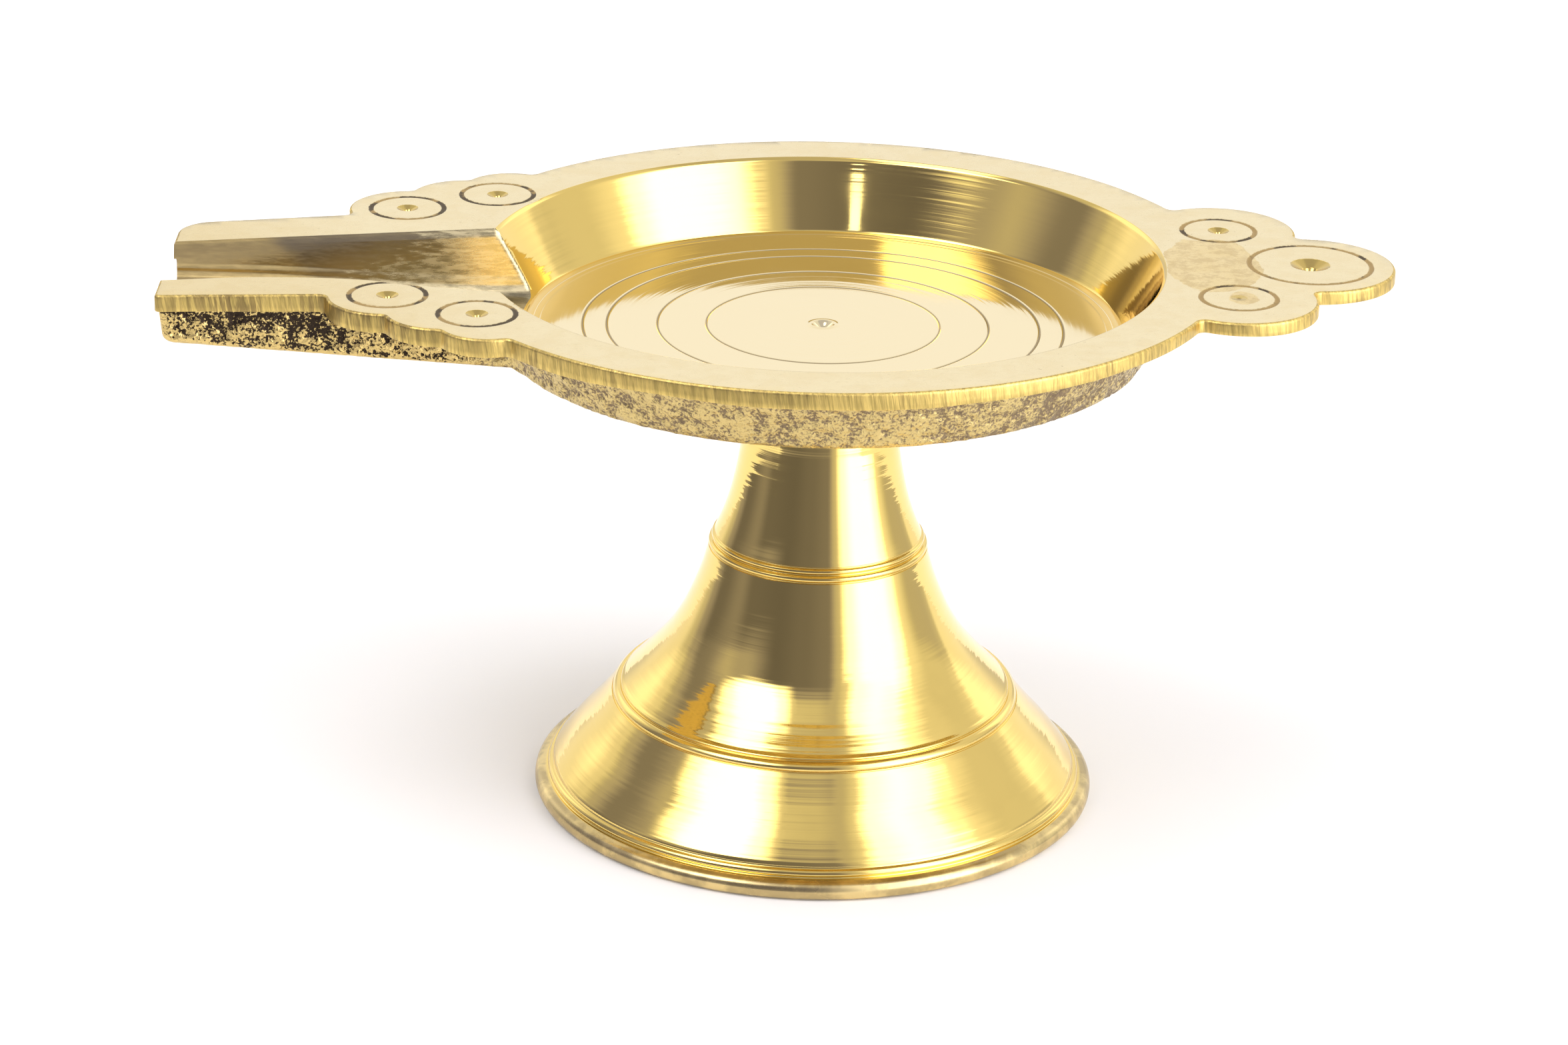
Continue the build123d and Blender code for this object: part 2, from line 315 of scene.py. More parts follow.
def fill(outer, holes, loose):
    """Triangles over the area between closed loops (n, 2), using loose points too.

    Gives the points, the triangles, and for each point its place among the loops' points or -1.
    """
    loops = [outer, *holes]
    points = np.concatenate([*loops, loose]) if len(loose) else np.concatenate(loops)
    edges, start = [], 0
    for loop in loops:
        count = len(loop)
        edges += [(start + i, start + (i + 1) % count) for i in range(count)]
        start += count
    coords = [Vector(p) for p in points.tolist()]
    found, _, triangles, sources, _, _ = delaunay_2d_cdt(coords, edges, [], 0, 1e-7)
    xy = np.array([tuple(v) for v in found])
    origin = np.array([next((s for s in source if s < start), -1) for source in sources])
    triangles = np.array([t for t in triangles if len(t) == 3])
    middle = xy[triangles].mean(axis=1)
    keep = inside(middle, outer)
    for hole in holes:
        keep &= ~inside(middle, hole)
    return xy, triangles[keep], origin


def thin_out(points, gap):
    """Drops points that are nearly on top of an earlier one."""
    cells = np.round(points / gap).astype(np.int64)
    _, first = np.unique(cells, axis=0, return_index=True)
    return points[np.sort(first)]


def square_grid(low, high, step):
    """Points on a square grid."""
    steps = np.arange(low, high, step)
    return np.stack(np.meshgrid(steps, steps), -1).reshape(-1, 2)


def circle(centre, radius, count):
    """Points round a circle."""
    angles = np.arange(count) * 2 * math.pi / count
    return np.asarray(centre) + radius * np.stack([np.cos(angles), np.sin(angles)], 1)


# ------------------------------------------------------------------ pan outlines
def half_outline(edge, tip_round, spacing):
    """The flange's edge on the -Y side, from the middle of the tip to the end of the grip."""
    tip = np.array([TIP_X, -edge[0]])
    shoulder = np.array([SHOULDER_X, -edge[1]])
    ahead = unit(shoulder - tip)
    outward = right_of(ahead)
    lobes = [(x, -y, r) for x, y, r in LOBES] + [(0.0, 0.0, RIM_R)]
    lobes += [(GRIP_LOBE[0], -GRIP_LOBE[1], GRIP_LOBE[2]), GRIP_TIP]
    first = np.array(lobes[0][:2]) - tip - outward * LOBE_ROUND
    reach = lobes[0][2] + LOBE_ROUND
    along = first @ ahead - math.sqrt(reach**2 - (first @ outward) ** 2)
    rounding = tip + outward * LOBE_ROUND + ahead * along
    rounded, touch = corner(tip, (TIP_X, 0), shoulder, tip_round, spacing / 2)
    aside = -TIP_MIDDLE if edge is NEAR_EDGE else TIP_MIDDLE
    pieces = [line((TIP_X, aside), rounded[0], spacing), rounded]
    arrival = rounding - outward * LOBE_ROUND
    pieces.append(line(touch, arrival, spacing))
    for index, lobe in enumerate(lobes):
        centre = np.array(lobe[:2])
        landing = centre + unit(rounding - centre) * lobe[2]
        pieces.append(arc(rounding, arrival, landing, spacing / 2))
        if index == len(lobes) - 1:
            pieces.append(arc(centre, landing, centre + (lobe[2], 0), spacing))
            break
        rounding = touching(lobe, lobes[index + 1], LOBE_ROUND)
        arrival = centre + unit(rounding - centre) * lobe[2]
        pieces.append(arc(centre, landing, arrival, spacing))
    return np.concatenate(pieces)


def flange_outline(spacing):
    """The flange's whole edge, anticlockwise seen from above."""
    near = half_outline(NEAR_EDGE, TIP_ROUNDS[0], spacing)
    far = half_outline(FAR_EDGE, TIP_ROUNDS[1], spacing) * (1, -1)
    end = np.array([[GRIP_TIP[0] + GRIP_TIP[2], 0.0]])
    return np.concatenate([near, end, far[:0:-1]])


def outward_normals(loop):
    """The outward direction at each point of an anticlockwise loop."""
    along = np.roll(loop, -1, axis=0) - np.roll(loop, 1, axis=0)
    return unit(np.stack([along[:, 1], -along[:, 0]], 1))


def wall_outline(inset, skirt_r, rounds):
    """The channel's outer wall and the bowl's skirt, anticlockwise; calls match point for point."""
    near_inset, far_inset = inset
    end_x = WALL_END_X + far_inset
    near, far = WALL_NEAR_Y[0] + near_inset, WALL_FAR_Y[0] - far_inset
    roots = (WALL_NEAR_Y[1] + near_inset, WALL_FAR_Y[1] - far_inset)
    sides = []
    for tip_y, root_y, rounding in zip((near, far), roots, rounds):
        tip, root = np.array([end_x, tip_y]), np.array([WALL_ROOT_X, root_y])
        middle = np.array([end_x, (near + far) / 2])
        rounded, leaving = corner(tip, middle, root, rounding, 0.2)
        ahead = unit(root - tip)
        across = tip @ ahead
        aside = tip - ahead * across
        meeting = aside - ahead * math.sqrt(skirt_r**2 - aside @ aside)
        angle = math.atan2(abs(meeting[1]), meeting[0])
        past = angle - WALL_BLEND / skirt_r
        side = 1 if tip_y > 0 else -1
        arrival = skirt_r * np.array([math.cos(past), side * math.sin(past)])
        before = meeting - ahead * WALL_BLEND
        around = np.linspace(past, 0, 400)[:, None]
        pieces = [
            resampled(np.array([middle, rounded[0]]), 26),
            resampled(np.concatenate([rounded, [leaving]]), 10),
            resampled(np.array([leaving, before]), 116),
            resampled(bezier(before, meeting, arrival, 24), 16),
            skirt_r * np.concatenate([np.cos(around), side * np.sin(around)], 1),
        ]
        sides.append(np.concatenate(pieces))
    return np.concatenate([sides[0], sides[1][-2:0:-1]])


def bezier(start, bend, end, count):
    """Points along a quadratic curve."""
    t = np.linspace(0, 1, count)[:, None]
    return (1 - t) ** 2 * start + 2 * t * (1 - t) * bend + t**2 * end


def resampled(points, count):
    """A polyline divided into equal steps, without its last point."""
    lengths = np.concatenate([[0], np.cumsum(np.linalg.norm(np.diff(points, axis=0), axis=1))])
    wanted = np.arange(count) * lengths[-1] / count
    return np.stack([np.interp(wanted, lengths, points[:, k]) for k in range(2)], 1)


# ------------------------------------------------------------------ pan surfaces
def bowl_table():
    """The turned profile as a fine table of depth against radius, its corners slightly rounded."""
    radii = np.arange(0, 60, 0.01)
    profile = sorted(BOWL_PROFILE)
    depth = np.interp(radii, [p[0] for p in profile], [p[1] for p in profile])
    for groove in FLOOR_GROOVES:
        depth += groove_depth(radii - groove, FLOOR_GROOVE)
    window = np.hanning(19)
    window /= window.sum()
    padded = np.concatenate([depth[9:0:-1], depth, np.full(9, depth[-1])])
    return radii, np.convolve(padded, window, "valid")


def groove_share(offset, half):
    """How deep a point lies in a groove, from 0 at its edges to 1 along its middle line."""
    return np.clip(1 - (offset / half) ** 2, 0, 1)


def groove_depth(offset, half):
    """Depth of a cut groove at a distance from its middle line."""
    return GROOVE_SLOPE / 2 * half * groove_share(offset, half)


BOWL_RADII, BOWL_DEPTHS = bowl_table()


def dimple_depth(distance, radius, depth):
    """Depth of a countersunk mark with a small drilled centre."""
    cone = depth * np.clip(1 - distance / radius, 0, 1)
    return cone + min(0.5, depth / 2) * np.clip(1.6 - distance / (0.25 * radius), 0, 1)


def engraving_places():
    """Each engraved ring: centre, ring radius, dimple radius and dimple depth."""
    places = [(x, side * y) for x, y in RING_CENTRES for side in (-1, 1)]
    small = [(x, y, SMALL_RING, *(WORN_MARK if x > 0 > y else SMALL_MARK)) for x, y in places]
    return [*small, (GRIP_TIP[0], 0.0, LARGE_RING, *LARGE_MARK)]


def top_height(xy):
    """Height of the pan's upper surface, before the channel is cut."""
    height = -np.interp(np.hypot(xy[:, 0], xy[:, 1]), BOWL_RADII, BOWL_DEPTHS)
    for x, y, ring, dimple, depth in engraving_places():
        distance = np.hypot(xy[:, 0] - x, xy[:, 1] - y)
        height -= groove_depth(distance - ring, RING_GROOVE)
        height -= dimple_depth(distance, dimple, depth)
    return TOP + height


def engraved_dirt_and_shade(xy):
    """How dark the grooves and marks are made, from 0 to 1: dirt in the grooves and drilled
    centres, and painted shade over each countersunk mark's cone.
    """
    dirt = np.zeros(len(xy))
    radius = np.hypot(xy[:, 0], xy[:, 1])
    for groove in FLOOR_GROOVES:
        dirt = np.maximum(dirt, 0.8 * groove_share(radius - groove, FLOOR_GROOVE))
    for x, y, ring, dimple, _ in engraving_places():
        distance = np.hypot(xy[:, 0] - x, xy[:, 1] - y)
        dirt = np.maximum(dirt, 1.3 * groove_share(distance - ring, RING_GROOVE))
        # Painted shade over the countersunk mark's cone.
        dirt = np.maximum(dirt, np.where(distance < dimple, 0.4, 0))
        dirt = np.maximum(dirt, 0.9 * np.clip(1.5 - distance / (0.25 * dimple), 0, 1))
    return np.clip(dirt, 0, 1)


def bowl_rings():
    """Radii of the rings of points in the bowl: close together where the profile bends."""
    radii = [40.7, 40.45, 40.38, 40.3, 40.2, 40.1, 40.0, 39.93, 39.8]
    radii += list(np.arange(39.4, 36.0, -0.42))
    radii += [36.0, 35.85, 35.75, 35.68, 35.6, 35.45, 35.2, 34.9, 34.62, 34.55, 34.48, 34.4, 34.32]
    radii += [34.1, 33.82, 33.75, 33.68, 33.6, 33.52, 33.2, 32.4, 31.4, 30.4]
    for groove in FLOOR_GROOVES:
        radii += [groove + FLOOR_GROOVE * k for k in (-1.9, -1.25, -1, -0.66, -0.33)]
        radii += [groove + FLOOR_GROOVE * k for k in (0, 0.33, 0.66, 1, 1.25, 1.9)]
    radii += [27.2, 24.2, 23.0, 21.6, 18.2, 17.0, 15.6, 12.4, 10.8, 9.0, 7.2, 5.4, 4.0, 3.0]
    radii += [2.4, 2.1, 1.9, 1.7, 1.5, 1.38, 1.25, 1.0, 0.7, 0.45, 0.25]
    return radii


def top_points():
    """Where the upper surface needs points, besides its edge."""
    groups = []
    for radius in bowl_rings():
        count = 300 if radius > 24 else 220 if radius > 12 else 120 if radius > 4 else 56
        groups.append(circle((0, 0), radius, count))
    for x, y, ring, dimple, _ in engraving_places():
        around = round(ring * 2 * math.pi / 0.22)
        for k in (-1.7, -1.15, -1, -0.66, -0.33, 0, 0.33, 0.66, 1, 1.15, 1.7):
            groups.append(circle((x, y), ring + RING_GROOVE * k, around))
        for share in (1.4, 1.15, 1.04, 1.0, 0.96, 0.8, 0.6, 0.44, 0.4, 0.36, 0.25, 0.15, 0.12):
            groups.append(circle((x, y), dimple * share, 56))
    grid = square_grid(-80, 72, 1.6)
    near_ring = np.zeros(len(grid), bool)
    for x, y, ring, _, _ in engraving_places():
        near_ring |= np.abs(np.hypot(grid[:, 0] - x, grid[:, 1] - y) - ring) < 1.0
        near_ring |= np.hypot(grid[:, 0] - x, grid[:, 1] - y) < 2.8
    in_bowl = np.hypot(grid[:, 0], grid[:, 1]) < 41.3
    groups.append(grid[~near_ring & ~in_bowl])
    return np.concatenate(groups)


def away_from(points, loop, gap):
    """The points inside a loop that keep a gap from its edge."""
    points = points[inside(points, loop)]
    keep = np.ones(len(points), bool)
    for start in range(0, len(points), 4000):
        block = points[start : start + 4000]
        distance = np.hypot(block[:, None, 0] - loop[:, 0], block[:, None, 1] - loop[:, 1])
        keep[start : start + 4000] = distance.min(axis=1) > gap
    return points[keep]


def flange_depth(plan):
    """How thick the flange is: filed thinner towards the grip and thicker beside the channel."""
    x, y = plan[:, 0], plan[:, 1]
    thick = FLANGE + 0.3 * smooth_step(-x, 18, 34) - 0.25 * smooth_step(-x, 54, 60)
    waves = noise(np.column_stack([x, y, 0 * x]), 9.0, 5)
    return thick - 0.3 * smooth_step(x, 15, 40) + 0.12 * waves


def placed(loop, depth):
    """A loop (n, 2) or (n, 3) at a depth below the top face."""
    depth = np.broadcast_to(depth, len(loop))
    return np.column_stack([loop[:, :2], TOP - depth])


def underside_depth(plan):
    """Depth of the underside: flat under the bowl, sloping under the channel."""
    share = np.clip((plan[:, 0] - WALL_END_X) / (WALL_ROOT_X - WALL_END_X), 0, 1)
    channel = WALL_DEPTH[0] + (WALL_DEPTH[1] - WALL_DEPTH[0]) * share
    radius = np.hypot(plan[:, 0], plan[:, 1])
    outside = smooth_step(radius, SKIRT_R[1] - SKIRT_ROUND, SKIRT_R[1] + SKIRT_ROUND)
    return PAN_DEPTH + (channel - PAN_DEPTH) * outside


def cast_pits(points):
    """How deep the sand-cast surface is pitted, from 0 on its high spots to 1."""
    rough = 0.6 * noise(points, 0.9, 1) + 0.4 * noise(points, 0.5, 2) + 0.2 * noise(points, 3.5, 3)
    return smooth_step(rough, -0.32, 0.48)


def pan_shell():
    """The pan as a closed shell, before the channel is cut."""
    shell = Shell()
    edge = flange_outline(0.32)
    normals = outward_normals(edge)
    top_edge = edge - normals * EDGE_ROUND
    loose = away_from(thin_out(top_points(), 0.03), top_edge, 0.25)
    xy, triangles, _ = fill(top_edge, [], loose)
    height = top_height(xy)
    middle = xy[triangles].mean(axis=1)
    slots = np.where(np.hypot(*middle.T) < TURNED_R, TURNED, TOPFACE)
    for x, y, _, dimple, _ in engraving_places():
        slots[np.hypot(*(middle - (x, y)).T) < dimple] = TURNED
    shell.add(np.column_stack([xy, height]), triangles, slots, engraved_dirt_and_shade(xy))

    rows, thick = [], flange_depth(edge - normals * LOWER_ROUND)
    for angle in (0, 20, 40, 60, 75, 90):
        turn = math.radians(angle)
        inset = EDGE_ROUND * (1 - math.sin(turn))
        rows.append(placed(edge - normals * inset, EDGE_ROUND * (1 - math.cos(turn))))
    for share in (0.33, 0.66):
        rows.append(placed(edge, EDGE_ROUND + (thick - LOWER_ROUND - EDGE_ROUND) * share))
    for angle in (0, 45, 90):
        turn = math.radians(angle)
        inset = LOWER_ROUND * (1 - math.cos(turn))
        rows.append(placed(edge - normals * inset, thick - LOWER_ROUND * (1 - math.sin(turn))))
    rows = np.array(rows)
    wave = 0.05 * (noise(placed(edge, 0), 5.0, 11)[:, None] - 1) * normals
    rows[1:-1, :, :2] += wave
    shell.strip(rows, FILED)

    wall_top = wall_outline((0.18, 0.02), SKIRT_R[0], WALL_ROUNDS)
    wall_low = wall_outline((0.45, 0.3), SKIRT_R[1], (1.5, WALL_ROUNDS[1]))
    under_edge = rows[-1][:, :2]
    grid = away_from(square_grid(-80, 72, 1.3), under_edge, 0.5)
    grid = grid[~inside(grid, wall_top)]
    grid = away_from_outside(grid, wall_top, 0.5)
    xy, triangles, _ = fill(under_edge, [wall_top], grid)
    shell.add(placed(xy, flange_depth(xy)), triangles, CAST)
    add_skirt(shell, wall_top, wall_low)
    return shell


def away_from_outside(points, loop, gap):
    """The points that keep a gap from a loop's edge."""
    distance = np.min(
        [np.hypot(points[:, 0] - x, points[:, 1] - y) for x, y in loop[::2]], axis=0
    )
    return points[distance > gap]


def add_skirt(shell, wall_top, wall_low):
    """Adds the rough outer wall, the underside and the boss."""
    inward = -outward_normals(wall_low)
    bottom = underside_depth(wall_low + inward * SKIRT_ROUND)
    rows = []
    top = flange_depth(wall_top)
    wall_rows = 20
    for index in range(wall_rows + 1):
        share = index / wall_rows
        depth = top + (bottom - SKIRT_ROUND - top) * share
        lean = ((depth - top) / (bottom - top))[:, None]
        rows.append(placed(wall_top + (wall_low - wall_top) * lean, depth))
    for angle in (20, 40, 60, 76, 90):
        turn = math.radians(angle)
        depth = bottom - SKIRT_ROUND * (1 - math.sin(turn))
        lean = ((depth - top) / (bottom - top))[:, None]
        plan = wall_top + (wall_low - wall_top) * lean
        rows.append(placed(plan + inward * SKIRT_ROUND * (1 - math.cos(turn)), depth))
    rows = np.array(rows)
    index = np.arange(len(rows))  # the relief fades out at the first and last rows
    fade = smooth_step(index, 0, 2) * smooth_step(len(rows) - 1 - index, 0, 3)
    pits = cast_pits(rows.reshape(-1, 3)).reshape(rows.shape[:2]) * fade[:, None]
    out = -inward
    swell = 0.12 * noise(rows.reshape(-1, 3), 6.0, 21).reshape(rows.shape[:2]) * fade[:, None]
    # The end face has less relief than the sides.
    calm = smooth_step(rows[:, :, 0], WALL_END_X + 0.4, WALL_END_X + 1.6)
    rows[:, :, :2] += ((swell - 0.3 * pits) * (0.2 + 0.8 * calm))[:, :, None] * out
    shell.strip(rows, CAST, pits=pits)

    under = rows[-1][:, :2]
    around = 96
    boss_foot = circle((0, 0), BOSS_R + 0.9, around)
    grid = away_from(square_grid(-78, 45, 1.0), under, 0.5)
    grid = grid[np.hypot(grid[:, 0], grid[:, 1]) > BOSS_R + 1.5]
    xy, triangles, origin = fill(under, [boss_foot], grid)
    points = placed(xy, underside_depth(xy))
    pits = cast_pits(points) * (origin < 0)
    points[:, 2] += 0.16 * pits
    shell.add(points, triangles, CAST, pits)
    face, hole_end = PAN_DEPTH + BOSS_HEIGHT, PAN_DEPTH + BOSS_HEIGHT - BORE_DEPTH
    profile = [
        (BOSS_R + 0.9, PAN_DEPTH),
        (BOSS_R + 0.35, PAN_DEPTH + 0.12),
        (BOSS_R, PAN_DEPTH + 0.6),
        (BOSS_R, face - 0.3),
        (BOSS_R - 0.3, face),
        (BORE_R + 0.3, face),
        (BORE_R, face - 0.3),
        (BORE_R, hole_end),
        (1.0, hole_end),
    ]
    boss = np.array([placed(circle((0, 0), r, around), d) for r, d in profile])
    shell.strip(boss, TURNED)
    shell.add(boss[-1], [tuple(range(around))], TURNED)


# ------------------------------------------------------------------ channel
def channel_at(x):
    """Near edge, far edge and depth of the channel at each x, as smooth curves."""
    stations = np.array(CHANNEL)
    return [smooth_curve(stations[:, 0], stations[:, k], x) for k in (1, 2, 3)]


def smooth_curve(knots, values, x):
    """A smooth curve through values at knots (Catmull-Rom)."""
    slopes = np.gradient(values, knots)
    index = np.clip(np.searchsorted(knots, x) - 1, 0, len(knots) - 2)
    width = knots[index + 1] - knots[index]
    t = (x - knots[index]) / width
    h = [(1 + 2 * t) * (1 - t) ** 2, t * (1 - t) ** 2, t * t * (3 - 2 * t), t * t * (t - 1)]
    return (
        h[0] * values[index]
        + h[1] * width * slopes[index]
        + h[2] * values[index + 1]
        + h[3] * width * slopes[index + 1]
    )


def channel_shell():
    """A closed solid of the metal that the channel takes away."""
    x = np.concatenate([np.arange(-79, -42, 0.5), np.arange(-42, -33.5, 0.14)])
    near, far, depth = channel_at(x)
    bevel, lean, rounding = 0.3, 0.9, 1.7
    section = [(-bevel - 1.2, -1.2, 0), (-bevel, 0, 0)]
    section += [(-bevel * 0.4, bevel * 0.7, 0), (0, bevel * 1.2, 0)]
    section += [(lean * s * 0.9, s, 1) for s in np.linspace(0.12, 0.92, 12)]
    half = []
    for aside, down, mode in section:
        if mode == 0:
            half.append((np.full(len(x), aside), np.full(len(x), down, dtype=float)))
        else:
            straight = depth - rounding
            drop = bevel * 1.2 + (straight - bevel * 1.2) * down
            half.append((np.full(len(x), aside), drop))
    for angle in np.radians(np.linspace(0, 90, 9)):
        half.append((lean + rounding * (1 - np.cos(angle)), depth - rounding * (1 - np.sin(angle))))
    rows = []
    for aside, down in half:
        rows.append(np.stack([x, near + aside, TOP - down], 1))
    middle_near = near + lean + rounding
    middle_far = far - lean - rounding
    for share in np.linspace(0.1, 0.9, 9):
        rows.append(np.stack([x, middle_near + (middle_far - middle_near) * share, TOP - depth], 1))
    for aside, down in half[::-1]:
        rows.append(np.stack([x, far - aside, TOP - down], 1))
    rows = np.array(rows)
    rows[:, :, 1] += root_flare(rows, (near + far) / 2)
    rows = rows.transpose(1, 0, 2)
    shell = Shell()
    shell.strip(rows, POLISHED)
    count = rows.shape[1]
    for end in (rows[0], rows[-1]):
        shell.add(end, [tuple(range(count))], POLISHED)
    return shell


def root_flare(rows, centre):
    """How far the channel's sides spread where they meet the bowl's wall, rounding that corner."""
    flare = 0.3
    depth = TOP - rows[:, :, 2]
    (mouth_r, mouth_depth), (foot_r, foot_depth) = MOUTH, WALL_FOOT
    cone = mouth_r - (mouth_r - foot_r) * (depth - mouth_depth) / (foot_depth - mouth_depth)
    outside = np.hypot(rows[:, :, 0], rows[:, :, 1]) - cone
    share = np.clip((flare - outside) / flare, 0, 1.6)
    side = np.sign(rows[:, :, 1] - centre)
    floor = depth > BOWL_DEPTH - 0.9
    return np.where(floor, 0, side * 0.42 * flare * share**2)


# ------------------------------------------------------------------ foot
def flare(points, step):
    """Points along a smooth curve through (radius, height) points, evenly spaced in height."""
    points = np.array(points)
    heights = np.arange(points[0, 1], points[-1, 1], step)
    return np.stack([smooth_curve(points[:, 1], points[:, 0], heights), heights], 1)


def bead(start, end, bulge):
    """Points over a rounded bead between two points of the profile, swelling to the outside."""
    start, end = np.array(start), np.array(end)
    along = end - start
    outward = unit(np.array([along[1], -along[0]]))
    share = np.linspace(0, 1, 9)[:, None]
    height = np.sqrt(np.clip(1 - (2 * share - 1) ** 2, 0, 1))
    return start + along * share + outward * bulge * height


def ring_profile(start, end, widths, bulges):
    """A run of beads and grooves between two points: widths as shares, bulges in mm."""
    start, end = np.array(start), np.array(end)
    edges = np.concatenate([[0], np.cumsum(widths)]) / sum(widths)
    pieces = []
    for low, high, bulge in zip(edges, edges[1:], bulges):
        pieces.append(bead(start + (end - start) * low, start + (end - start) * high, bulge)[:-1])
    return np.concatenate(pieces)


def foot_profile():
    """The foot's closed section as (radius, height), up its outside and down its inside."""
    lip = [(32.05, 0.0), (33.2, 0.0), (33.5, 0.03)]
    band = [(33.8, 0.13), (34.05, 0.35), (34.18, 0.65), (34.22, 1.0), (34.15, 1.4), (33.98, 1.75)]
    band += [(33.7, 2.0), (33.3, 2.16), (32.95, 2.2)]
    ridge = ring_profile((32.8, 2.25), (31.95, 3.5), *BASE_BEADS)
    outer = np.concatenate(
        [
            lip,
            band,
            ridge,
            flare(BASE_FLARE, 0.3),
            ring_profile(BASE_FLARE[-1], MIDDLE_FLARE[0], *MIDDLE_BEADS),
            flare(MIDDLE_FLARE, 0.3),
            ring_profile(MIDDLE_FLARE[-1], NECK[0], *NECK_BEADS),
            flare(NECK, 0.3),
            [(8.8, FOOT_TOP - 0.25), (8.55, FOOT_TOP)],
        ]
    )
    crown_low = FOOT_TOP - CROWN
    bore = [(FOOT_BORE + 0.3, FOOT_TOP), (FOOT_BORE, FOOT_TOP - 0.3)]
    bore += [(FOOT_BORE, crown_low + 0.3), (FOOT_BORE + 0.3, crown_low), (6.6, crown_low)]
    inner = flare(FOOT_INSIDE, 0.8)[::-1]
    return np.concatenate([outer, bore, inner]), len(outer) + len(bore)


def foot_shell():
    """The foot: a hollow turned bell."""
    columns = 240
    profile, outside = foot_profile()
    rows = []
    for radius, height in profile:
        rows.append(np.column_stack([circle((0, 0), radius, columns), np.full(columns, height)]))
    rows = np.array([*rows, rows[0]])
    shell = Shell()
    shell.strip(rows, np.repeat((np.arange(len(rows) - 1) > outside).astype(int), columns))
    return shell


def stud_shell():
    """The stud with its thread, inside the CAD rod's diameter."""
    columns, steps = 48, 8
    low, high, radius = STUD_LOW[2], STUD_HIGH[2], STUD_HIGH[0]
    heights = np.arange(low, high + 0.01, THREAD_PITCH / steps)
    angles = np.arange(columns) * 2 * math.pi / columns
    turn = heights[:, None] / THREAD_PITCH - angles / (2 * math.pi)
    crest = np.abs(2 * (turn - np.floor(turn)) - 1)
    lead = np.clip((heights - low) / 0.8, 0, 1)[:, None]
    deep = THREAD_DEPTH * np.clip(1.3 * (1 - crest) - 0.15, 0, 1)
    reach = radius - np.maximum(deep, 0.6 * (1 - lead))
    levels = np.repeat(heights[:, None], columns, 1)
    rows = np.stack([reach * np.cos(angles), reach * np.sin(angles), levels], 2)
    shell = Shell()
    shell.strip(rows, 0)
    for end in (rows[0], rows[-1]):
        shell.add(end, [tuple(range(columns))], 0)
    return shell


# ------------------------------------------------------------------ objects
def new_object(name, data):
    """Adds a mesh, a light or a camera to the scene as an object."""
    thing = bpy.data.objects.new(name, data)
    bpy.context.scene.collection.objects.link(thing)
    return thing


def cut(thing, tool):
    """Cuts one solid out of another and removes the tool."""
    modifier = thing.modifiers.new("cut", "BOOLEAN")
    modifier.operation = "DIFFERENCE"
    modifier.solver = "EXACT"
    modifier.object = tool
    bpy.context.view_layer.update()
    depsgraph = bpy.context.evaluated_depsgraph_get()
    result = bpy.data.meshes.new_from_object(thing.evaluated_get(depsgraph))
    thing.modifiers.clear()
    thing.data = result
    bpy.data.objects.remove(tool)


def crisp(mesh, smooth_slots=()):
    """Smooth shading with sharp edges at creases, but none between faces of the smooth slots."""
    mesh.polygons.foreach_set("use_smooth", [True] * len(mesh.polygons))
    work = bmesh.new()
    work.from_mesh(mesh)
    for edge in work.edges:
        if len(edge.link_faces) != 2:
            continue
        first, second = edge.link_faces
        soft = first.material_index in smooth_slots and second.material_index in smooth_slots
        edge.smooth = soft or edge.calc_face_angle(0) < CREASE
    work.to_mesh(mesh)
    work.free()


# ------------------------------------------------------------------ materials
class Nodes:
    """A node tree and short ways to add to it; a value is a number or another node's output."""

    def __init__(self, tree):
        self.tree = tree

    def add(self, kind, **settings):
        node = self.tree.nodes.new(kind)
        for key, value in settings.items():
            setattr(node, key, value)
        return node

    def put(self, socket, value):
        if isinstance(value, bpy.types.NodeSocket):
            self.tree.links.new(value, socket)
        else:
            socket.default_value = value

    def fed(self, node, *values):
        """Puts values into a node's first sockets and gives its first output."""
        for socket, value in zip(node.inputs, values):
            self.put(socket, value)
        return node.outputs[0]

    def work(self, operation, *values):
        return self.fed(self.add("ShaderNodeMath", operation=operation), *values)

    def plus(self, first, second):
        return self.work("ADD", first, second)

    def minus(self, first, second):
        return self.work("SUBTRACT", first, second)

    def times(self, first, second):
        return self.work("MULTIPLY", first, second)

    def ramp(self, value, low, high, to_low=0.0, to_high=1.0):
        node = self.add("ShaderNodeMapRange", interpolation_type="SMOOTHSTEP")
        return self.fed(node, value, low, high, to_low, to_high)

    def split(self, vector):
        """A vector's three parts."""
        node = self.add("ShaderNodeSeparateXYZ")
        self.put(node.inputs[0], vector)
        return node.outputs


